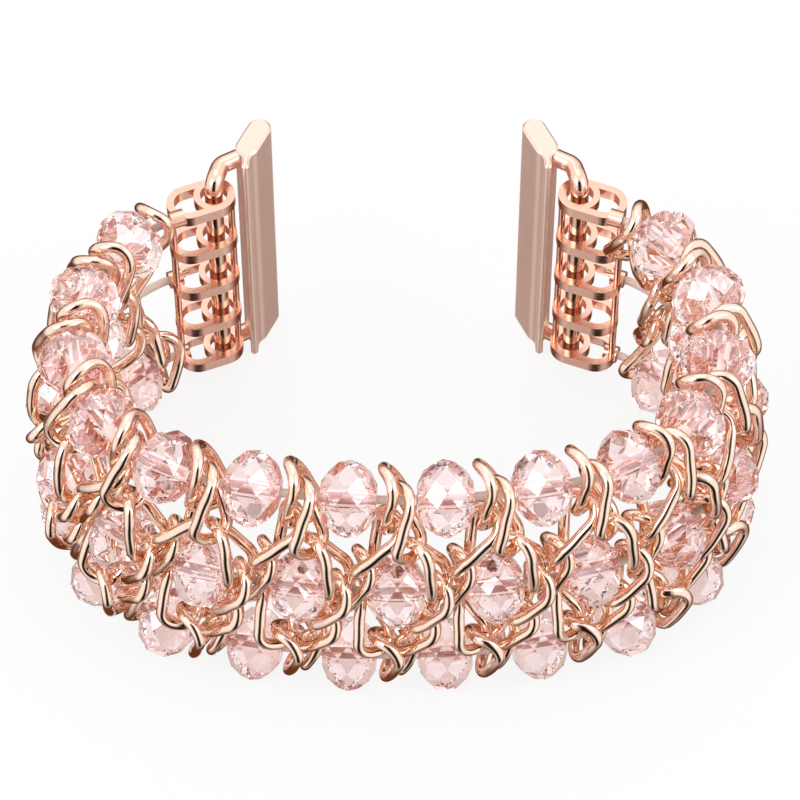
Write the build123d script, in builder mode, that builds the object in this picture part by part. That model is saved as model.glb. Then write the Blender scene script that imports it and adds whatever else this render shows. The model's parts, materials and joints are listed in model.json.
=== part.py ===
from build123d import *

import math
import os

# Bead watch band: three rows of faceted beads on elastic cords, with strands of chain links
# beside each bead, and at each end a ladder connector, a bail and a lug insert.
# Millimetres. +Z is up, the front of the wrist faces -Y and the open side faces +Y.
# The band stands on its lower beads, with the origin under the middle of the whole band.

os.makedirs("parts", exist_ok=True)

# Plan of the middle row: one long front arc, then a tighter arc round each side
front_radius = 75.0
corner_radius = 21.0
front_arc_half = 20.5
front_pitch = 10.0
corner_pitch = 9.7
front_steps = 2
rings = 13
row_pitch = 12.4
upper_row_inset = 2.4
lower_row_inset = 0.6

# Faceted beads: each row of the profile is a share of the half length and of the radius
bead_radius = 4.0
bead_length = 5.6
bead_facets = 12
bead_profile_shares = [(0.0, 1.0), (0.36, 0.94), (0.77, 0.69), (1.0, 0.4)]
bead_spin = 17.0

# Elastic cords
cord_radius = 0.45
cord_bore_clearance = 0.05
cord_lead = 0.6
cord_turn_radius = 3.0

# Chain link: a flat oval of round wire, twisted end to end and closed with a butt seam
wire_radius = 0.6
link_half_length = 4.0
link_end_radius = 2.2
link_twist = 80.0
link_seam_gap = 0.1
link_end_arcs = 4
link_side_arcs = 2

# Where each link of a ring lies, from the ring's middle bead: its place along the band and
# outward as shares of the front pitch and its height as a share of the row pitch, then in
# degrees how its lower end leans along the band and outward, and how it is rolled.
right_strand_shares = [
    (0.095, -0.09, 0.859, 6.0, 26.5, 7.0),
    (0.31, 0.035, 0.391, 24.0, 3.5, -6.0),
    (0.355, 0.07, -0.097, -16.5, -8.0, 5.5),
    (0.19, -0.035, -0.577, -23.0, -12.5, -2.5),
    (0.085, -0.14, -0.867, 0.0, 1.0, -15.5),
]
left_strand_shares = [
    (-0.04, -0.305, 0.935, 8.5, 2.0, 16.5),
    (-0.21, -0.1, 0.54, -28.5, 17.0, 7.5),
    (-0.375, -0.085, 0.056, -6.5, 0.0, 4.0),
    (-0.31, -0.02, -0.395, 20.0, 29.0, 10.5),
    (-0.105, 0.055, -0.827, 3.5, -23.5, -15.5),
]

# Ladder connector: flat oval rings round an eye, held by upright posts
ring_count = 5
ring_pitch = row_pitch / 2
ring_height = 1.3
oval_length = 7.5
oval_width = 4.6
oval_wall = 0.8
eye_wall = 0.7
eye_bore_radius = 1.45
post_radius = 0.38
boss_radius = 0.95
boss_length = 1.5
boss_proud = 0.15
connector_heading = 158.0
connector_gap = 1.5
connector_inset = 1.2

# Bail pins: one from each end of the eye, bent over to the lug insert
pin_radius = 0.97
pin_seam_gap = 0.1
pin_arm_height = 14.6
pin_bend_radius = 1.35
pin_elbow = (-0.7, 2.75)
pin_socket_clearance = 0.03
pin_end_margin = 0.1

# Lug insert: a bar with a rounded head and a thin neck, placed from the eye in plan
insert_half_length = 15.9
insert_near = (-3.55, 4.4)
insert_far = (-4.75, 7.07)
insert_tail = (-3.4, 1.7)
insert_head_radius = 1.28
insert_neck_radius = 0.4
insert_neck_fillet = 1.2
insert_edge = 0.25

overrun = 1.0

# Values that follow
corner_start = front_arc_half / front_radius
middle_height = row_pitch + bead_radius
oval_radius = oval_width / 2
oval_reach = oval_length - oval_radius
cord_bore_radius = cord_radius + cord_bore_clearance
cord_bow = bead_length**2 / 8 / (corner_radius - upper_row_inset)
bead_bore_radius = cord_bore_radius + cord_bow
last_ring = rings // 2
end_station_index = last_ring + 1


def station(step):
    """Length along the middle row from its front centre to a step of the bead count."""
    along = min(abs(step), front_steps) * front_pitch
    along += max(abs(step) - front_steps, 0) * corner_pitch
    return math.copysign(along, step)


def heading(along):
    """Direction of the row, in radians from +X, at a length along it."""
    turn = min(abs(along), front_arc_half) / front_radius
    turn += max(abs(along) - front_arc_half, 0) / corner_radius
    return math.copysign(turn, along)


def plan_point(along, out):
    """Point in plan at a length along the middle row, moved outward, from its front centre."""
    turn = heading(abs(along))
    first = min(turn, corner_start)
    x = front_radius * math.sin(first) + corner_radius * (math.sin(turn) - math.sin(first))
    y = front_radius * (1 - math.cos(first)) + corner_radius * (math.cos(first) - math.cos(turn))
    side = math.copysign(1, along)
    return Vector(side * (x + out * math.sin(turn)), y - out * math.cos(turn))


# The right eye follows from the last strand, and the band's depth from the insert behind it
end_turn = math.radians(connector_heading)
connector_run = Vector(math.cos(end_turn), math.sin(end_turn))
connector_end = plan_point(station(end_station_index) + connector_gap, -connector_inset)
eye_from_front = connector_end + connector_run * oval_reach
back_edge = eye_from_front.Y + insert_far[1] + insert_head_radius
front_y = -(back_edge - bead_radius) / 2
eye = eye_from_front + Vector(0, front_y)


def band_plane(along, out, height):
    """Plane on the band, with X along the row, Y inward and Z up."""
    turn = heading(along)
    place = plan_point(along, out) + Vector(0, front_y, middle_height + height)
    return Plane(origin=place, x_dir=(math.cos(turn), math.sin(turn), 0), z_dir=(0, 0, 1))


def connector_plane(height):
    """Plane at the right eye, with X toward the beads, Y outward and Z up."""
    origin = eye + Vector(0, 0, middle_height + height)
    return Plane(origin=origin, x_dir=-connector_run, z_dir=(0, 0, 1))


# One bead, with its bore along X, wide enough for a cord that bows round the tightest row
with BuildPart() as bead:
    half_profile = [(reach * bead_length / 2, size * bead_radius) for reach, size in bead_profile_shares]
    full_profile = [(-reach, size) for reach, size in reversed(half_profile[1:])] + half_profile
    for reach, size in full_profile:
        with BuildSketch(Plane.YZ.offset(reach)):
            RegularPolygon(radius=size, side_count=bead_facets)
    loft(ruled=True)
    Cylinder(bead_bore_radius, bead_length + overrun, rotation=(0, 90, 0), mode=Mode.SUBTRACT)


def placed_bead(step, out, height, turn_index):
    """A copy of the bead at a step of the band, spun on its cord."""
    spin = Rotation(bead_spin * turn_index, 0, 0)
    return bead.part.moved(band_plane(station(step), out, height).location * spin)


# One chain link: its centreline is an oval in plan, twisted about its long axis X
def link_point(run):
    """Point of the link's centreline at a run from the middle of its lower end."""
    straight = 2 * (link_half_length - link_end_radius)
    half_turn = math.pi * link_end_radius
    run = (run + half_turn / 2) % (2 * (straight + half_turn))
    side = 1
    if run >= straight + half_turn:
        run = run - straight - half_turn
        side = -1
    if run < half_turn:
        angle = run / link_end_radius - math.pi / 2
        x = straight / 2 + link_end_radius * math.cos(angle)
        y = link_end_radius * math.sin(angle)
    else:
        x = straight / 2 - (run - half_turn)
        y = link_end_radius
    twist = math.radians(link_twist) / 2 * side * x / link_half_length
    return Vector(side * x, side * y * math.cos(twist), side * y * math.sin(twist))


end_arc_run = math.pi * link_end_radius / link_end_arcs
side_arc_run = 2 * (link_half_length - link_end_radius) / link_side_arcs
half_end_arcs = [end_arc_run] * (link_end_arcs // 2 + 1)
arc_runs = half_end_arcs + [side_arc_run] * link_side_arcs + [end_arc_run] * link_end_arcs
arc_runs += [side_arc_run] * link_side_arcs + [end_arc_run] * (link_end_arcs // 2 - 1)
run_marks = [-end_arc_run]
for arc_run in arc_runs:
    run_marks.append(run_marks[-1] + arc_run)
run_marks[0] += link_seam_gap / 2
run_marks[-1] -= link_seam_gap / 2
link_points = [link_point(mark) for mark in run_marks]
link_start = link_point(run_marks[0] + link_seam_gap) - link_point(run_marks[0] - link_seam_gap)

with BuildPart() as link:
    with BuildLine():
        link_arcs = [TangentArc(link_points[0], link_points[1], tangent=link_start)]
        for point in link_points[2:]:
            link_arcs.append(TangentArc(link_arcs[-1] @ 1, point, tangent=link_arcs[-1] % 1))
    with BuildSketch(Plane(origin=link_points[0], z_dir=link_start)):
        Circle(wire_radius)
    sweep()
link_length = sum(arc.length for arc in link_arcs)
print("link volume", link.part.volume, "section times length", math.pi * wire_radius**2 * link_length)


def placed_link(step, shares):
    """A copy of the link in its place beside a middle bead."""
    along, out, height, lean_along, lean_out, roll = shares
    lean_along, lean_out, roll = (math.radians(angle) for angle in (lean_along, lean_out, roll))
    base = band_plane(station(step) + along * front_pitch, out * front_pitch, height * row_pitch)
    down = Vector(
        math.sin(lean_along) * math.cos(lean_out),
        -math.sin(lean_out),
        -math.cos(lean_along) * math.cos(lean_out),
    )
    outward = Vector(0, -1, 0)
    face = (outward - down * outward.dot(down)).normalized()
    across = face * math.cos(roll) + down.cross(face) * math.sin(roll)
    return link.part.moved(base.location * Plane((0, 0, 0), x_dir=down, z_dir=down.cross(across)).location)


# Middle beads and their two strands of links, ring by ring from left to right
for number in range(rings):
    step = number - last_ring
    with BuildPart() as middle_bead:
        add(placed_bead(step, 0, 0, number))
    middle_bead.part.label = f"middle_bead_{number + 1:02d}"
    export_step(middle_bead.part, f"parts/{middle_bead.part.label}.step")
    with BuildPart() as chain_links:
        add([placed_link(step, shares) for shares in right_strand_shares + left_strand_shares])
    chain_links.part.label = f"chain_links_{number + 1:02d}"
    export_step(chain_links.part, f"parts/{chain_links.part.label}.step")

# Upper and lower beads, in pairs half a step over from the middle beads
for number in range(rings + 1):
    step = number - last_ring - 1 / 2
    with BuildPart() as outer_beads:
        add(placed_bead(step, -upper_row_inset, row_pitch, 2 * number))
        add(placed_bead(step, -lower_row_inset, -row_pitch, 2 * number + 1))
    outer_beads.part.label = f"outer_beads_{number + 1:02d}"
    export_step(outer_beads.part, f"parts/{outer_beads.part.label}.step")

# The last strand beside each connector
for side_name, step, strand in (
    ("left", -end_station_index, right_strand_shares),
    ("right", end_station_index, left_strand_shares),
):
    with BuildPart() as end_strand:
        add([placed_link(step, shares) for shares in strand])
    end_strand.part.label = f"{side_name}_end_strand"
    export_step(end_strand.part, f"parts/{end_strand.part.label}.step")

# Where each cord leaves its row and runs straight into the connector, in the connector's plane
cord_rows = {
    "upper_cord": (-upper_row_inset, row_pitch),
    "middle_cord": (0, 0),
    "lower_cord": (-lower_row_inset, -row_pitch),
}
lead_along = station(end_station_index) + cord_lead
boss_outer = oval_reach + boss_proud
boss_inner = boss_outer - boss_length


def lead_point(out, height, turned):
    """Point on the bend that turns a cord from its row toward the connector, 0 to 1 along it."""
    start = heading(lead_along)
    now = start + turned * (end_turn - start)
    bend = Vector(math.sin(now) - math.sin(start), math.cos(start) - math.cos(now))
    row_end = plan_point(lead_along, out) + Vector(0, front_y, middle_height + height)
    return row_end + bend * cord_turn_radius


def boss_offset(out, height):
    """How far outward of the eye a cord's bore lies in the connector."""
    return connector_plane(height).to_local_coords(lead_point(out, height, 1)).Y


# Ladder connectors: the right one is modelled and the left one is its mirror image
with BuildPart() as right_connector:
    for ring in range(ring_count):
        ring_bottom = (ring - (ring_count - 1) / 2) * ring_pitch - ring_height / 2
        with BuildSketch(connector_plane(ring_bottom)):
            with Locations(((oval_reach - oval_radius) / 2, 0)):
                SlotOverall(oval_length, oval_width)
                SlotOverall(oval_length - 2 * oval_wall, oval_width - 2 * oval_wall, mode=Mode.SUBTRACT)
            Circle(eye_bore_radius + eye_wall)
            Circle(eye_bore_radius, mode=Mode.SUBTRACT)
        extrude(amount=ring_height)
    ladder_height = (ring_count - 1) * ring_pitch + ring_height
    post_ring = (eye_bore_radius + oval_radius) / 2
    with BuildSketch(connector_plane(-ladder_height / 2)):
        with Locations((-post_ring, 0), (oval_reach - oval_wall / 2, 0), (0, post_ring)):
            Circle(post_radius)
    extrude(amount=ladder_height)
    for out, height in cord_rows.values():
        boss_foot = connector_plane(height).from_local_coords((boss_inner, boss_offset(out, height), 0))
        boss_plane = Plane(origin=boss_foot, z_dir=-connector_run)
        with BuildSketch(boss_plane):
            Circle(boss_radius)
        extrude(amount=boss_length)
        with BuildSketch(boss_plane.offset(-overrun)):
            Circle(cord_bore_radius)
        extrude(amount=boss_length + 2 * overrun, mode=Mode.SUBTRACT)
    with BuildSketch(connector_plane(-ladder_height / 2 - overrun)):
        Circle(eye_bore_radius)
    extrude(amount=ladder_height + 2 * overrun, mode=Mode.SUBTRACT)

# Bail pins: each rises through half of the eye, then turns at an elbow into the lug insert
elbow = Vector(*pin_elbow)
arm = Vector(*insert_near) - elbow
arm_run = arm.normalized()
arm_end = elbow + arm_run * (arm.length - pin_end_margin)
eye_middle = eye + Vector(0, 0, middle_height)
pin_bends = [Vector(0, 0, pin_arm_height), elbow + Vector(0, 0, pin_arm_height)]
pin_start = Vector(0, 0, pin_seam_gap / 2)
pin_stop = arm_end + Vector(0, 0, pin_arm_height)
with BuildPart() as right_upper_pin:
    with BuildLine():
        FilletPolyline([eye_middle + point for point in [pin_start, *pin_bends, pin_stop]], radius=pin_bend_radius)
    with BuildSketch(Plane(eye_middle + pin_start)):
        Circle(pin_radius)
    sweep()
with BuildPart() as right_lower_pin:
    mirror(right_upper_pin.part, about=Plane.XY.offset(middle_height))

# Lug insert: a head and a neck in plan, with a blind socket for each bail pin
insert_plane = Plane(eye_middle - Vector(0, 0, insert_half_length))
with BuildPart() as right_lug_insert:
    for end, radius in ((insert_far, insert_head_radius), (insert_tail, insert_neck_radius)):
        with BuildSketch(insert_plane):
            with Locations(insert_near, end):
                Circle(radius)
            make_hull()
    extrude(amount=2 * insert_half_length)
    tail_foot = insert_plane.from_local_coords((*insert_tail, insert_half_length))
    neck_joins = right_lug_insert.edges().filter_by(Axis.Z).sort_by_distance(tail_foot)[2:4]
    fillet(neck_joins, insert_neck_fillet)
    chamfer(right_lug_insert.faces().filter_by(Axis.Z).edges(), insert_edge)
    for side in (1, -1):
        with BuildSketch(Plane(eye_middle + elbow + Vector(0, 0, side * pin_arm_height), z_dir=arm_run)):
            Circle(pin_radius + pin_socket_clearance)
        extrude(amount=arm.length, mode=Mode.SUBTRACT)

# The right end's pieces and their mirror images
end_pieces = {
    "connector": right_connector,
    "upper_bail_pin": right_upper_pin,
    "lower_bail_pin": right_lower_pin,
    "lug_insert": right_lug_insert,
}
for piece_name, right_piece in end_pieces.items():
    right_piece.part.label = f"right_{piece_name}"
    export_step(right_piece.part, f"parts/{right_piece.part.label}.step")
    with BuildPart() as left_piece:
        mirror(right_piece.part, about=Plane.YZ)
    left_piece.part.label = f"left_{piece_name}"
    export_step(left_piece.part, f"parts/{left_piece.part.label}.step")

# Elastic cords, each one length from connector to connector through its beads and links
corner_middle = (lead_along + front_arc_half) / 2
right_marks = [front_arc_half, corner_middle, lead_along]
row_marks = [-mark for mark in reversed(right_marks)] + [0] + right_marks
for cord_name, (out, height) in cord_rows.items():
    row_shift = Vector(0, front_y, middle_height + height)
    row = [plan_point(mark, out) + row_shift for mark in row_marks]
    bend_middle = lead_point(out, height, 1 / 2)
    bend_end = lead_point(out, height, 1)
    cord_end = connector_plane(height).from_local_coords((boss_inner, boss_offset(out, height), 0))
    right_tail = [bend_middle, bend_end, cord_end]
    left_tail = [Vector(-point.X, point.Y, point.Z) for point in reversed(right_tail)]
    route = left_tail + row + right_tail
    with BuildPart() as cord:
        with BuildLine():
            Line(*route[0:2])
            for first in range(1, len(route) - 3, 2):
                ThreePointArc(*route[first : first + 3])
            Line(*route[-2:])
        with BuildSketch(Plane(origin=route[0], z_dir=route[1] - route[0])):
            Circle(cord_radius)
        sweep()
    cord.part.label = cord_name
    export_step(cord.part, f"parts/{cord_name}.step")
    print(cord_name, "volume", cord.part.volume)
print("eye", eye, "front", front_y)
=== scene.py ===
import json
import math
from collections import namedtuple

import bmesh
import bpy
import numpy as np
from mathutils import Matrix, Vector

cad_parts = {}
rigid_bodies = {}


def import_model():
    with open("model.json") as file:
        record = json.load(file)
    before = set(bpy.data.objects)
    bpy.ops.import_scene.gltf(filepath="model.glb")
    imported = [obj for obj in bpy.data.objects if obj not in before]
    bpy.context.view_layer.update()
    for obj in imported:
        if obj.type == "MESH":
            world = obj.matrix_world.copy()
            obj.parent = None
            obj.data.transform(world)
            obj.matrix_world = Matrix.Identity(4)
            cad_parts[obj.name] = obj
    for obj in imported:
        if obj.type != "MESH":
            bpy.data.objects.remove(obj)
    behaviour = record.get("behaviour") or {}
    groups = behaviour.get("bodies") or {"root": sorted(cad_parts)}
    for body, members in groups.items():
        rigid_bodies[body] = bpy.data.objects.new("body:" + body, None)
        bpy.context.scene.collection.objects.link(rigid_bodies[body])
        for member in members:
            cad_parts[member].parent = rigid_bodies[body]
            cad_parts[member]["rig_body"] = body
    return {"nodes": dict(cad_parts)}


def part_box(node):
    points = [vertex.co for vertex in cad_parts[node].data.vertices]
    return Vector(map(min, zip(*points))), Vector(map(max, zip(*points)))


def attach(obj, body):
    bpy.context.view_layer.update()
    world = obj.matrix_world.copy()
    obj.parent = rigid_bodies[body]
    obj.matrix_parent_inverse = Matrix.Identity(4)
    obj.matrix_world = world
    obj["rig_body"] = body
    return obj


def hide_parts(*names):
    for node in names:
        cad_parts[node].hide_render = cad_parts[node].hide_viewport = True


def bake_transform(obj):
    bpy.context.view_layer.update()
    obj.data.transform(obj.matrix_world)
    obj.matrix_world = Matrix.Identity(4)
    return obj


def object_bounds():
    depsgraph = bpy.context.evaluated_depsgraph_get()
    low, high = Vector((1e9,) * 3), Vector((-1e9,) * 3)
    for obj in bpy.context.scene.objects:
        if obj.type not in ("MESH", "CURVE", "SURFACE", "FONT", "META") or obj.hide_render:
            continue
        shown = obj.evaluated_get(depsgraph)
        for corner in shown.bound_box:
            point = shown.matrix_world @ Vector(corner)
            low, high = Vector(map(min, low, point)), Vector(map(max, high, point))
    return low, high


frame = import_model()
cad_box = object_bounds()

# Camera. A long lens looks down on the front beads from about half-way up, as a jeweller's
# catalogue shot does, with the open side behind and the lug ends pointing away.
CAMERA_PLACE = Vector((0.0, -0.2304, 0.3136))
CAMERA_RISE = math.radians(50.5)
CAMERA_SENSOR = 36.0
CAMERA_CLIP = (0.01, 5.0)
FRAME_PIXELS = 800.0
LENS_PIXELS = 3556.0
AXIS_PIXEL = Vector((397.0, 304.0))

camera_data = bpy.data.cameras.new("catalogue_camera")
camera = bpy.data.objects.new("catalogue_camera", camera_data)
scene = bpy.context.scene
scene.collection.objects.link(camera)
scene.camera = camera
camera_data.sensor_width = CAMERA_SENSOR
camera_data.lens = LENS_PIXELS / FRAME_PIXELS * CAMERA_SENSOR
camera_data.clip_start, camera_data.clip_end = CAMERA_CLIP
sight = Vector((0.0, math.cos(CAMERA_RISE), -math.sin(CAMERA_RISE)))
sight_up = Vector((0.0, math.sin(CAMERA_RISE), math.cos(CAMERA_RISE)))
off_axis = (Vector((FRAME_PIXELS, FRAME_PIXELS)) / 2 - AXIS_PIXEL) / LENS_PIXELS
camera_look = sight + Vector((off_axis.x, 0.0, 0.0)) - sight_up * off_axis.y
camera.location = CAMERA_PLACE
camera.rotation_mode = "QUATERNION"
camera.rotation_quaternion = camera_look.to_track_quat("-Z", "Y")

# Studio. A white tent stands round the jewel. A dark arch over its front draws the thin dark
# line along each polished wire, and its brown far side, down to the table's glow, warms the
# wires' edges. Glass sees the same arch and far side in paler colours.
TENT_BACKDROP = (1.0, 1.0, 1.0)
TENT_FILL = (0.8, 0.8, 0.8)
TENT_PALE = (0.70, 0.68, 0.67)
TENT_BRIGHT = (1.16, 1.16, 1.17)
TENT_BRIGHT_REACH = (0.12, 0.62)
ARCH_COLOUR = (0.02, 0.012, 0.01)
ARCH_HALF_WIDTHS = (0.16, 0.54)
ARCH_FRONT = (-0.42, -0.60)
FAR_SIDE_COLOUR = (0.15, 0.045, 0.015)
FAR_SIDE_REACH = (0.05, 0.75)
TABLE_GLOW_REACH = (0.90, 0.98)
GLASS_WHITE = (1.22, 1.20, 1.20)
GLASS_ARCH = (0.34, 0.15, 0.13)
GLASS_FAR_SIDE = (1.0, 0.90, 0.88)
GLASS_BOUNCES = 24
METAL_BOUNCES = 16

scene.view_settings.view_transform = "Standard"
scene.cycles.max_bounces = GLASS_BOUNCES
scene.cycles.transmission_bounces = GLASS_BOUNCES
scene.cycles.glossy_bounces = METAL_BOUNCES
tent = bpy.data.worlds.new("white_tent")
scene.world = tent
tent.use_nodes = True
tent_nodes, tent_links = tent.node_tree.nodes, tent.node_tree.links
tent_nodes.clear()


def tent_sum(operation, *values):
    """One sum in the tent's nodes, on outputs or plain numbers."""
    node = tent_nodes.new("ShaderNodeMath")
    node.operation = operation
    for socket, value in zip(node.inputs, values):
        if isinstance(value, float):
            socket.default_value = value
        else:
            tent_links.new(value, socket)
    return node.outputs[0]


def tent_blend(share, first, second):
    """A colour between two, each an output or a plain colour."""
    node = tent_nodes.new("ShaderNodeMix")
    node.data_type = "RGBA"
    tent_links.new(share, node.inputs["Factor"])
    for name, value in (("A", first), ("B", second)):
        if isinstance(value, tuple):
            node.inputs[name].default_value = (*value, 1.0)
        else:
            tent_links.new(value, node.inputs[name])
    return node.outputs["Result"]


def tent_ramp(value, low, high):
    """A smooth step from 0 at low to 1 at high."""
    node = tent_nodes.new("ShaderNodeMapRange")
    node.interpolation_type = "SMOOTHSTEP"
    node.inputs["From Min"].default_value = low
    node.inputs["From Max"].default_value = high
    tent_links.new(value, node.inputs["Value"])
    return node.outputs["Result"]


tent_rays = tent_nodes.new("ShaderNodeLightPath")
tent_place = tent_nodes.new("ShaderNodeTexCoord")
tent_axes = tent_nodes.new("ShaderNodeSeparateXYZ")
across_tent = tent_nodes.new("ShaderNodeVectorMath")
across_tent.operation = "DOT_PRODUCT"
across_tent.inputs[1].default_value = sight
tent_links.new(tent_place.outputs["Generated"], tent_axes.inputs[0])
tent_links.new(tent_place.outputs["Generated"], across_tent.inputs[0])
far_reach = across_tent.outputs["Value"]
beside_middle = tent_sum("ABSOLUTE", tent_axes.outputs["X"])
out_or_up = tent_sum("MAXIMUM", beside_middle, tent_axes.outputs["Z"])

arch_width = tent_ramp(beside_middle, ARCH_HALF_WIDTHS[1], ARCH_HALF_WIDTHS[0])
arch_share = tent_sum("MULTIPLY", arch_width, tent_ramp(tent_axes.outputs["Y"], *ARCH_FRONT))
off_glow = tent_sum("SUBTRACT", 1.0, tent_ramp(far_reach, *TABLE_GLOW_REACH))
far_share = tent_sum("MULTIPLY", tent_ramp(far_reach, *FAR_SIDE_REACH), off_glow)

metal_sees = tent_blend(tent_ramp(out_or_up, *TENT_BRIGHT_REACH), TENT_PALE, TENT_BRIGHT)
metal_sees = tent_blend(far_share, metal_sees, FAR_SIDE_COLOUR)
metal_sees = tent_blend(arch_share, metal_sees, ARCH_COLOUR)
glass_sees = tent_blend(far_share, GLASS_WHITE, GLASS_FAR_SIDE)
glass_sees = tent_blend(arch_share, glass_sees, GLASS_ARCH)
tent_seen = tent_blend(tent_rays.outputs["Is Glossy Ray"], TENT_BACKDROP, metal_sees)
tent_seen = tent_blend(tent_rays.outputs["Is Transmission Ray"], tent_seen, glass_sees)
clear_rays = (tent_rays.outputs["Is Camera Ray"], tent_rays.outputs["Is Glossy Ray"])
seen_share = tent_sum("MAXIMUM", *clear_rays)
tent_light = tent_nodes.new("ShaderNodeBackground")
tent_out = tent_nodes.new("ShaderNodeOutputWorld")
tent_links.new(tent_blend(seen_share, TENT_FILL, tent_seen), tent_light.inputs["Color"])
tent_links.new(tent_light.outputs[0], tent_out.inputs["Surface"])

SOFT_BOXES = (
    # name, place, width, brightness
    ("left_soft_box", (-0.36, -0.26, 0.46), 0.34, 3.0),
    ("right_soft_box", (0.46, -0.16, 0.38), 0.34, 2.0),
    ("top_soft_box", (0.0, 0.20, 0.56), 0.40, 0.6),
)
for box_name, place, width, brightness in SOFT_BOXES:
    lamp = bpy.data.lights.new(box_name, "AREA")
    lamp.shape = "SQUARE"
    lamp.size = width
    lamp.energy = brightness * math.pi * width**2
    soft_box = bpy.data.objects.new(box_name, lamp)
    scene.collection.objects.link(soft_box)
    soft_box.location = place
    soft_box.rotation_mode = "QUATERNION"
    soft_box.rotation_quaternion = (-Vector(place)).to_track_quat("-Z", "Y")

# Table. A matt white sheet under the band, level with its lowest beads. The camera and the
# glass see it as white with a faint shadow, and the metal sees the tent below it.
TABLE_HALF = 0.9
TABLE_COLOUR = (0.92, 0.92, 0.92, 1.0)
TABLE_WHITE_SHARE = 0.85

table_corners = ((-1, -1), (1, -1), (1, 1), (-1, 1))
table_points = [(x * TABLE_HALF, y * TABLE_HALF, cad_box[0].z) for x, y in table_corners]
table_mesh = bpy.data.meshes.new("white_table")
table_mesh.from_pydata(table_points, [], [(0, 1, 2, 3)])
table_object = bpy.data.objects.new("white_table", table_mesh)
scene.collection.objects.link(table_object)
table_finish = bpy.data.materials.new("white_table")
table_finish.use_nodes = True
table_nodes, table_links = table_finish.node_tree.nodes, table_finish.node_tree.links
table_nodes.clear()
table_matt = table_nodes.new("ShaderNodeBsdfDiffuse")
table_matt.inputs["Color"].default_value = TABLE_COLOUR
table_glow = table_nodes.new("ShaderNodeEmission")
table_clear = table_nodes.new("ShaderNodeBsdfTransparent")
table_rays = table_nodes.new("ShaderNodeLightPath")
table_seen = table_nodes.new("ShaderNodeMath")
table_seen.operation = "MAXIMUM"
white_share = table_nodes.new("ShaderNodeMath")
white_share.operation = "MULTIPLY"
white_share.inputs[1].default_value = TABLE_WHITE_SHARE
only_mirrored = table_nodes.new("ShaderNodeMath")
only_mirrored.operation = "GREATER_THAN"
table_white = table_nodes.new("ShaderNodeMixShader")
table_mix = table_nodes.new("ShaderNodeMixShader")
table_out = table_nodes.new("ShaderNodeOutputMaterial")
for output, socket in (
    (table_rays.outputs["Is Camera Ray"], table_seen.inputs[0]),
    (table_rays.outputs["Is Transmission Ray"], table_seen.inputs[1]),
    (table_seen.outputs[0], white_share.inputs[0]),
    (white_share.outputs[0], table_white.inputs[0]),
    (table_matt.outputs[0], table_white.inputs[1]),
    (table_glow.outputs[0], table_white.inputs[2]),
    (table_rays.outputs["Is Glossy Ray"], only_mirrored.inputs[0]),
    (table_rays.outputs["Is Transmission Ray"], only_mirrored.inputs[1]),
    (only_mirrored.outputs[0], table_mix.inputs[0]),
    (table_white.outputs[0], table_mix.inputs[1]),
    (table_clear.outputs[0], table_mix.inputs[2]),
    (table_mix.outputs[0], table_out.inputs["Surface"]),
):
    table_links.new(output, socket)
table_mesh.materials.append(table_finish)

# Cut beads. Each is pressed pink glass, eight-sided, ground with a belt of triangles, two rows
# of kites and two rows of end facets, drilled through, and lustre-coated after polishing.
BEAD_SIDES = 8
BEAD_RADIUS = 0.0040
BEAD_HALF_LENGTH = 0.0028
BEAD_BORE = 0.00071
BORE_SIDES = 16
DRILL_REACH = 3.0
BEAD_ROWS = (
    # reach from the middle, radius and turn, as shares of half length, radius and one side
    (0.0, 1.0, 0.0),
    (0.375, 0.93, 0.5),
    (0.77, 0.71, 0.0),
    (1.0, 0.41, 0.5),
)

bead_tree = bpy.data.node_groups.new("cut_bead", "GeometryNodeTree")
for socket_name, kind in (
    ("Places", "NodeSocketGeometry"),
    ("Radius", "NodeSocketFloat"),
    ("Half Length", "NodeSocketFloat"),
    ("Bore Radius", "NodeSocketFloat"),
    ("Sides", "NodeSocketInt"),
    ("Glass", "NodeSocketMaterial"),
    ("Seed", "NodeSocketInt"),
):
    bead_tree.interface.new_socket(socket_name, in_out="INPUT", socket_type=kind)
bead_tree.interface.new_socket("Beads", in_out="OUTPUT", socket_type="NodeSocketGeometry")
bead_nodes, bead_links = bead_tree.nodes, bead_tree.links
bead_in = bead_nodes.new("NodeGroupInput")
bead_out = bead_nodes.new("NodeGroupOutput")
side_turn = bead_nodes.new("ShaderNodeMath")
side_turn.operation = "DIVIDE"
side_turn.inputs[0].default_value = 2 * math.pi
bead_links.new(bead_in.outputs["Sides"], side_turn.inputs[1])


def bead_times(size, factor):
    """A size or turn of the bead times a plain number or another output, in its tree."""
    product = bead_nodes.new("ShaderNodeMath")
    product.operation = "MULTIPLY"
    bead_links.new(size, product.inputs[0])
    if isinstance(factor, float):
        product.inputs[1].default_value = factor
    else:
        bead_links.new(factor, product.inputs[1])
    return product.outputs[0]


gathered_rows = bead_nodes.new("GeometryNodeJoinGeometry")
for reach_share, radius_share, turn_share in BEAD_ROWS:
    for end in (1, -1) if reach_share else (1,):
        row = bead_nodes.new("GeometryNodeMeshCircle")
        row_radius = bead_times(bead_in.outputs["Radius"], radius_share)
        row_reach = bead_times(bead_in.outputs["Half Length"], reach_share * end)
        row_place = bead_nodes.new("ShaderNodeCombineXYZ")
        row_angle = bead_nodes.new("ShaderNodeCombineXYZ")
        set_row = bead_nodes.new("GeometryNodeTransform")
        for output, socket in (
            (bead_in.outputs["Sides"], row.inputs["Vertices"]),
            (row_radius, row.inputs["Radius"]),
            (row_reach, row_place.inputs["Z"]),
            (bead_times(side_turn.outputs[0], turn_share), row_angle.inputs["Z"]),
            (row.outputs["Mesh"], set_row.inputs["Geometry"]),
            (row_place.outputs[0], set_row.inputs["Translation"]),
            (row_angle.outputs[0], set_row.inputs["Rotation"]),
            (set_row.outputs["Geometry"], gathered_rows.inputs["Geometry"]),
        ):
            bead_links.new(output, socket)
facets = bead_nodes.new("GeometryNodeConvexHull")
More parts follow.
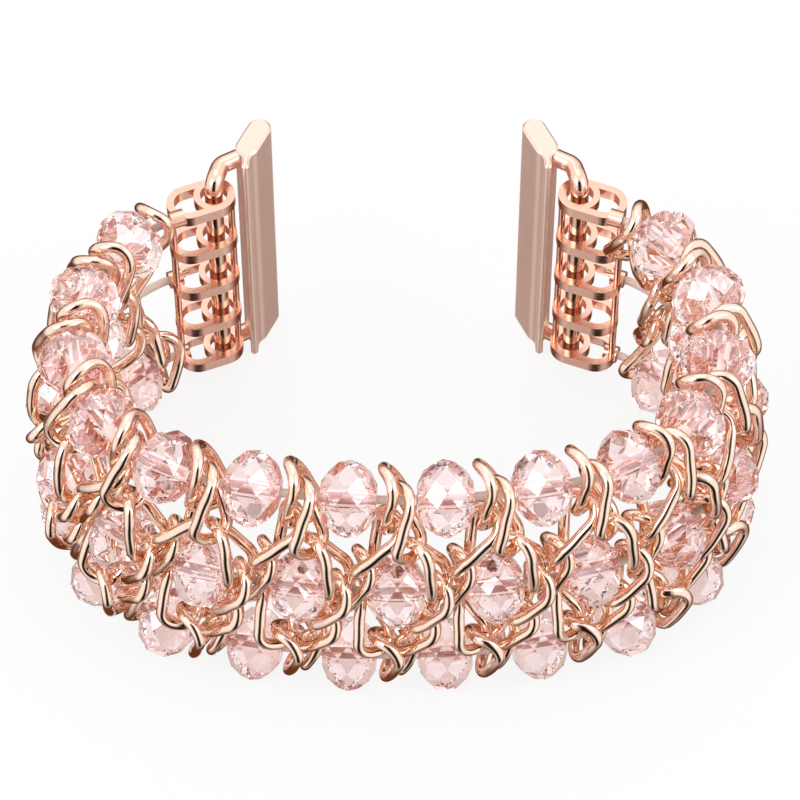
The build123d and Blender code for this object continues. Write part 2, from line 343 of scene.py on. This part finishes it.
drill = bead_nodes.new("GeometryNodeMeshCylinder")
drill.inputs["Vertices"].default_value = BORE_SIDES
drill_depth = bead_times(bead_in.outputs["Half Length"], DRILL_REACH)
drilled = bead_nodes.new("GeometryNodeMeshBoolean")
drilled.operation = "DIFFERENCE"
run_along = bead_nodes.new("GeometryNodeInputNamedAttribute")
run_along.data_type = "FLOAT_VECTOR"
run_along.inputs["Name"].default_value = "cord_run"
aligned = bead_nodes.new("FunctionNodeAlignRotationToVector")
aligned.axis = "Z"
chance = bead_nodes.new("FunctionNodeRandomValue")
chance.data_type = "FLOAT"
chance_share = chance.outputs[1]
spin = bead_nodes.new("ShaderNodeCombineXYZ")
spun = bead_nodes.new("FunctionNodeRotateRotation")
spun.rotation_space = "LOCAL"
strung = bead_nodes.new("GeometryNodeInstanceOnPoints")
tone_mark = bead_nodes.new("GeometryNodeStoreNamedAttribute")
tone_mark.data_type = "FLOAT"
tone_mark.domain = "INSTANCE"
tone_mark.inputs["Name"].default_value = "bead_tone"
real_beads = bead_nodes.new("GeometryNodeRealizeInstances")
glazed = bead_nodes.new("GeometryNodeSetMaterial")
for output, socket in (
    (gathered_rows.outputs["Geometry"], facets.inputs["Geometry"]),
    (bead_in.outputs["Bore Radius"], drill.inputs["Radius"]),
    (drill_depth, drill.inputs["Depth"]),
    (facets.outputs["Convex Hull"], drilled.inputs["Mesh 1"]),
    (drill.outputs["Mesh"], drilled.inputs["Mesh 2"]),
    (bead_in.outputs["Seed"], chance.inputs["Seed"]),
    (bead_times(chance_share, side_turn.outputs[0]), spin.inputs["Z"]),
    (run_along.outputs["Attribute"], aligned.inputs["Vector"]),
    (aligned.outputs["Rotation"], spun.inputs["Rotation"]),
    (spin.outputs[0], spun.inputs["Rotate By"]),
    (bead_in.outputs["Places"], strung.inputs["Points"]),
    (drilled.outputs["Mesh"], strung.inputs["Instance"]),
    (spun.outputs["Rotation"], strung.inputs["Rotation"]),
    (strung.outputs["Instances"], tone_mark.inputs["Geometry"]),
    (chance_share, tone_mark.inputs["Value"]),
    (tone_mark.outputs["Geometry"], real_beads.inputs["Geometry"]),
    (real_beads.outputs["Geometry"], glazed.inputs["Geometry"]),
    (bead_in.outputs["Glass"], glazed.inputs["Material"]),
    (glazed.outputs["Geometry"], bead_out.inputs["Beads"]),
):
    bead_links.new(output, socket)

GLASS_INDEX = 1.55
GLASS_DEEP_PINK = (0.98, 0.725, 0.705, 1.0)
GLASS_PALE_PINK = (0.99, 0.80, 0.79, 1.0)
LUSTRE_FILM = 54.0
LUSTRE_INDEX = 1.95

pink_glass = bpy.data.materials.new("pink_bead_glass")
pink_glass.use_nodes = True
glass_nodes, glass_links = pink_glass.node_tree.nodes, pink_glass.node_tree.links
glass = glass_nodes["Principled BSDF"]
glass.inputs["Transmission Weight"].default_value = 1.0
glass.inputs["IOR"].default_value = GLASS_INDEX
glass.inputs["Roughness"].default_value = 0.0
glass.inputs["Thin Film Thickness"].default_value = LUSTRE_FILM
glass.inputs["Thin Film IOR"].default_value = LUSTRE_INDEX
bead_tone = glass_nodes.new("ShaderNodeAttribute")
bead_tone.attribute_name = "bead_tone"
glass_tint = glass_nodes.new("ShaderNodeMix")
glass_tint.data_type = "RGBA"
glass_tint.inputs["A"].default_value = GLASS_DEEP_PINK
glass_tint.inputs["B"].default_value = GLASS_PALE_PINK
glass_links.new(bead_tone.outputs["Fac"], glass_tint.inputs["Factor"])
glass_links.new(glass_tint.outputs["Result"], glass.inputs["Base Color"])


def bead_places(node_name):
    """Centre and bore direction of each bead of a node, from the spread of its points."""
    corners = [vertex.co for vertex in frame["nodes"][node_name].data.vertices]
    middle_height = sum(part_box(node_name), Vector()).z / 2
    beads = [corners]
    if "outer" in node_name:
        upper = [corner for corner in corners if corner.z > middle_height]
        lower = [corner for corner in corners if corner.z < middle_height]
        beads = [upper, lower]
    places = []
    for bead in beads:
        cloud = np.array(bead)
        centre = (cloud.min(axis=0) + cloud.max(axis=0)) / 2
        spread = cloud - centre
        bead_axes = np.linalg.eigh(spread.T @ spread)[1].T
        run = Vector(min(bead_axes, key=lambda axis: np.ptp(spread @ axis)))
        # Every run points the same way round the wrist.
        if Vector(centre).cross(run).z < 0:
            run = -run
        places.append((Vector(centre), run))
    return places


bead_runs = {}
bead_names = [f"middle_bead_{n:02d}" for n in range(1, 14)]
bead_names += [f"outer_beads_{n:02d}" for n in range(1, 15)]
for seed, node_name in enumerate(bead_names):
    bead_runs[node_name] = bead_places(node_name)
    point_mesh = bpy.data.meshes.new("bead_places")
    point_mesh.from_pydata([centre for centre, run in bead_runs[node_name]], [], [])
    run_mark = point_mesh.attributes.new("cord_run", "FLOAT_VECTOR", "POINT")
    run_values = [value for centre, run in bead_runs[node_name] for value in run]
    run_mark.data.foreach_set("vector", run_values)
    point_object = bpy.data.objects.new("bead_places", point_mesh)
    scene.collection.objects.link(point_object)
    string_beads = point_object.modifiers.new("string_beads", "NODES")
    string_beads.node_group = bead_tree
    bead_sizes = {
        "Radius": BEAD_RADIUS,
        "Half Length": BEAD_HALF_LENGTH,
        "Bore Radius": BEAD_BORE,
        "Sides": BEAD_SIDES,
        "Glass": pink_glass,
        "Seed": seed,
    }
    for socket in bead_tree.interface.items_tree:
        if socket.in_out == "INPUT" and socket.name in bead_sizes:
            string_beads[socket.identifier] = bead_sizes[socket.name]
    made = point_object.evaluated_get(bpy.context.evaluated_depsgraph_get())
    bead_mesh = bpy.data.meshes.new_from_object(made)
    bead_mesh.name = f"cut_{node_name}"
    bpy.data.objects.remove(point_object)
    cut_bead = bpy.data.objects.new(f"cut_{node_name}", bead_mesh)
    scene.collection.objects.link(cut_bead)
    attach(cut_bead, frame["nodes"][node_name]["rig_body"])
    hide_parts(node_name)

# Plating. Every metal piece is polished brass with a thin rose gold plate, a little uneven in
# tone and gloss, with the fine lines that polishing leaves.
PATCH_DETAIL = 3.0
LINE_SCALE = 2400.0
LINE_DETAIL = 4.0
LINE_DEPTH = 0.00002
LINE_RANGE = (0.35, 0.7)

plating = bpy.data.node_groups.new("plating", "ShaderNodeTree")
for in_out, socket_name, kind in (
    ("INPUT", "Light Tone", "NodeSocketColor"),
    ("INPUT", "Deep Tone", "NodeSocketColor"),
    ("INPUT", "Smoothest", "NodeSocketFloat"),
    ("INPUT", "Roughest", "NodeSocketFloat"),
    ("INPUT", "Patch Scale", "NodeSocketFloat"),
    ("OUTPUT", "Tone", "NodeSocketColor"),
    ("OUTPUT", "Gloss", "NodeSocketFloat"),
    ("OUTPUT", "Height", "NodeSocketFloat"),
):
    plating.interface.new_socket(socket_name, in_out=in_out, socket_type=kind)
plate_nodes, plate_links = plating.nodes, plating.links
plate_in = plate_nodes.new("NodeGroupInput")
plate_out = plate_nodes.new("NodeGroupOutput")
plate_place = plate_nodes.new("ShaderNodeTexCoord")
patches = plate_nodes.new("ShaderNodeTexNoise")
patches.inputs["Detail"].default_value = PATCH_DETAIL
fine_lines = plate_nodes.new("ShaderNodeTexNoise")
fine_lines.inputs["Scale"].default_value = LINE_SCALE
fine_lines.inputs["Detail"].default_value = LINE_DETAIL
patch_tone = plate_nodes.new("ShaderNodeMix")
patch_tone.data_type = "RGBA"
gloss_range = plate_nodes.new("ShaderNodeMapRange")
gloss_range.inputs["From Min"].default_value = LINE_RANGE[0]
gloss_range.inputs["From Max"].default_value = LINE_RANGE[1]
for output, socket in (
    (plate_place.outputs["Object"], patches.inputs["Vector"]),
    (plate_place.outputs["Object"], fine_lines.inputs["Vector"]),
    (plate_in.outputs["Patch Scale"], patches.inputs["Scale"]),
    (patches.outputs["Fac"], patch_tone.inputs["Factor"]),
    (plate_in.outputs["Light Tone"], patch_tone.inputs["A"]),
    (plate_in.outputs["Deep Tone"], patch_tone.inputs["B"]),
    (fine_lines.outputs["Fac"], gloss_range.inputs["Value"]),
    (plate_in.outputs["Smoothest"], gloss_range.inputs["To Min"]),
    (plate_in.outputs["Roughest"], gloss_range.inputs["To Max"]),
    (patch_tone.outputs["Result"], plate_out.inputs["Tone"]),
    (gloss_range.outputs["Result"], plate_out.inputs["Gloss"]),
    (fine_lines.outputs["Fac"], plate_out.inputs["Height"]),
):
    plate_links.new(output, socket)


def plated(finish_name, light, deep, polish, patch_scale, relief, metal_share=1.0):
    """A rose gold finish between two tones and two levels of polish."""
    finish = bpy.data.materials.new(finish_name)
    finish.use_nodes = True
    nodes, links = finish.node_tree.nodes, finish.node_tree.links
    metal = nodes["Principled BSDF"]
    metal.inputs["Metallic"].default_value = metal_share
    plate = nodes.new("ShaderNodeGroup")
    plate.node_tree = plating
    plate.inputs["Light Tone"].default_value = (*light, 1.0)
    plate.inputs["Deep Tone"].default_value = (*deep, 1.0)
    plate.inputs["Smoothest"].default_value = polish[0]
    plate.inputs["Roughest"].default_value = polish[1]
    plate.inputs["Patch Scale"].default_value = patch_scale
    polish_lines = nodes.new("ShaderNodeBump")
    polish_lines.inputs["Strength"].default_value = relief
    polish_lines.inputs["Distance"].default_value = LINE_DEPTH
    links.new(plate.outputs["Tone"], metal.inputs["Base Color"])
    links.new(plate.outputs["Gloss"], metal.inputs["Roughness"])
    links.new(plate.outputs["Height"], polish_lines.inputs["Height"])
    links.new(polish_lines.outputs["Normal"], metal.inputs["Normal"])
    return finish


def give_finish(node_name, finish):
    """Dresses a CAD node in one finish and leaves its mesh alone."""
    materials = frame["nodes"][node_name].data.materials
    materials.clear()
    materials.append(finish)


# Chain links. Each is an oval of rose gold wire, twisted end to end and closed with a butt
# seam, and the strands of five are looped over the cords and through each other.
wire_finish = plated(
    "link_wire",
    light=(0.94, 0.75, 0.62),
    deep=(0.88, 0.63, 0.48),
    polish=(0.05, 0.11),
    patch_scale=300.0,
    relief=0.15,
)
strand_names = [f"chain_links_{n:02d}" for n in range(1, 14)]
for node_name in (*strand_names, "left_end_strand", "right_end_strand"):
    give_finish(node_name, wire_finish)

# Ladder connectors. Each is one casting: five flat oval rings on three posts round a tube-like
# eye, plated in a deeper copper rose than the wire.
connector_finish = plated(
    "connector_cast",
    light=(0.92, 0.61, 0.49),
    deep=(0.85, 0.48, 0.35),
    polish=(0.18, 0.28),
    patch_scale=420.0,
    relief=0.12,
)
for side_name in ("left", "right"):
    give_finish(f"{side_name}_connector", connector_finish)

# Bail pins. Bent rods of the same plating, two in each eye, that hold the lug inserts.
pin_finish = plated(
    "bail_pin",
    light=(0.92, 0.66, 0.53),
    deep=(0.88, 0.56, 0.43),
    polish=(0.08, 0.16),
    patch_scale=350.0,
    relief=0.2,
)
for side_name in ("left", "right"):
    for level in ("upper", "lower"):
        give_finish(f"{side_name}_{level}_bail_pin", pin_finish)

# Lug inserts. Drawn brass bars with a rounded head on a thin neck, plated as the rest and left
# satin under a pale lacquer, so that they scatter light where the wires mirror it.
insert_finish = plated(
    "lug_insert",
    light=(0.97, 0.76, 0.66),
    deep=(0.93, 0.68, 0.57),
    polish=(0.28, 0.36),
    patch_scale=260.0,
    relief=0.06,
    metal_share=0.5,
)
for side_name in ("left", "right"):
    give_finish(f"{side_name}_lug_insert", insert_finish)

# Elastic cords. Clear stretch cord, one length for each row of beads, knotted in a connector
# at each end. Each cord is cut into stretches between its beads.
ELASTIC_PALE = (0.94, 0.78, 0.72, 1.0)
ELASTIC_DEEP = (0.86, 0.66, 0.59, 1.0)
ELASTIC_ROUGHNESS = 0.3
ELASTIC_GLOW = 0.4
ELASTIC_GLOW_REACH = 0.0006
CLOUD_SCALE = 900.0
MERGE_REACH = 1e-6
WALL_CORNERS = 4

elastic_finish = bpy.data.materials.new("elastic_cord")
elastic_finish.use_nodes = True
elastic_nodes, elastic_links = elastic_finish.node_tree.nodes, elastic_finish.node_tree.links
elastic = elastic_nodes["Principled BSDF"]
elastic.inputs["Roughness"].default_value = ELASTIC_ROUGHNESS
elastic.inputs["Subsurface Weight"].default_value = ELASTIC_GLOW
elastic.inputs["Subsurface Scale"].default_value = ELASTIC_GLOW_REACH
elastic_place = elastic_nodes.new("ShaderNodeTexCoord")
elastic_cloud = elastic_nodes.new("ShaderNodeTexNoise")
elastic_cloud.inputs["Scale"].default_value = CLOUD_SCALE
elastic_tone = elastic_nodes.new("ShaderNodeMix")
elastic_tone.data_type = "RGBA"
elastic_tone.inputs["A"].default_value = ELASTIC_PALE
elastic_tone.inputs["B"].default_value = ELASTIC_DEEP
elastic_links.new(elastic_place.outputs["Object"], elastic_cloud.inputs["Vector"])
elastic_links.new(elastic_cloud.outputs["Fac"], elastic_tone.inputs["Factor"])
elastic_links.new(elastic_tone.outputs["Result"], elastic.inputs["Base Color"])

# The beads that hold each cord from the front to the right, with the bodies they ride on.
middle_holds = [(f"middle_bead_{n:02d}", f"ring_{n:02d}") for n in range(7, 14)]
middle_holds += [("outer_beads_14", "right_last_beads")]
outer_holds = [(f"outer_beads_{n + 1:02d}", f"ring_{n:02d}") for n in range(7, 13)]
outer_holds += [("middle_bead_13", "ring_13"), ("outer_beads_14", "right_last_beads")]
cord_holds = {
    "upper_cord": outer_holds,
    "middle_cord": middle_holds,
    "lower_cord": outer_holds,
}
Hold = namedtuple("Hold", "place outward body reach")


def left_name(name):
    """The left side's node or body across from a right-hand one."""
    if name.startswith("right_"):
        return name.replace("right_", "left_")
    kind, number = name.rsplit("_", 1)
    across = 15 if kind == "outer_beads" else 14
    return f"{kind}_{across - int(number):02d}"


def cord_stretch(cord_name, number, cuts):
    """One closed length of a cord, kept between planes across it, as a new piece."""
    stretch = bmesh.new()
    stretch.from_mesh(frame["nodes"][cord_name].data)
    bmesh.ops.remove_doubles(stretch, verts=stretch.verts, dist=MERGE_REACH)
    for place, kept_side in cuts:
        bmesh.ops.bisect_plane(
            stretch,
            geom=stretch.verts[:] + stretch.edges[:] + stretch.faces[:],
            plane_co=place,
            plane_no=-kept_side,
            clear_outer=True,
        )
        open_edges = [edge for edge in stretch.edges if edge.is_boundary]
        bmesh.ops.holes_fill(stretch, edges=open_edges)
    for face in stretch.faces:
        face.smooth = len(face.verts) <= WALL_CORNERS
    mesh = bpy.data.meshes.new(f"{cord_name}_{number:02d}")
    stretch.to_mesh(mesh)
    stretch.free()
    mesh.materials.append(elastic_finish)
    piece = bpy.data.objects.new(mesh.name, mesh)
    scene.collection.objects.link(piece)
    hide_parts(cord_name)
    return piece


for cord_name, right_holds in cord_holds.items():
    row_height = sum(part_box(cord_name), Vector()).z / 2
    row_index = 1 if cord_name == "lower_cord" else 0
    own_beads = "middle" if cord_name == "middle_cord" else "outer"
    piece_number = 1
    if own_beads == "outer":
        left_place, left_run = bead_runs["outer_beads_07"][row_index]
        right_place, right_run = bead_runs["outer_beads_08"][row_index]
        front_cuts = [(left_place, left_run), (right_place, -right_run)]
        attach(cord_stretch(cord_name, piece_number, front_cuts), "ring_07")
    for side, side_name in ((1, "right"), (-1, "left")):
        holds = []
        for node, body in right_holds:
            if side_name == "left":
                node, body = left_name(node), left_name(body)
            place, run = bead_runs[node][min(row_index, len(bead_runs[node]) - 1)]
            place = Vector((place.x, place.y, row_height))
            reach = BEAD_HALF_LENGTH if node.startswith(own_beads) else 0.0
            holds.append(Hold(place, run * side, body, reach))
        half = (Vector(), Vector((side, 0.0, 0.0)))
        for near, far in zip(holds, holds[1:]):
            piece_number += 1
            cuts = [half, (near.place, near.outward), (far.place, -far.outward)]
            piece = cord_stretch(cord_name, piece_number, cuts)
            end = far.place - far.outward * far.reach
            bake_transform(piece)
        piece_number += 1
        last = holds[-1]
        piece = cord_stretch(cord_name, piece_number, [half, (last.place, last.outward)])
        ladder_middle = sum(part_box(f"{side_name}_connector"), Vector()) / 2
        ladder_middle.z = row_height
        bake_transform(piece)
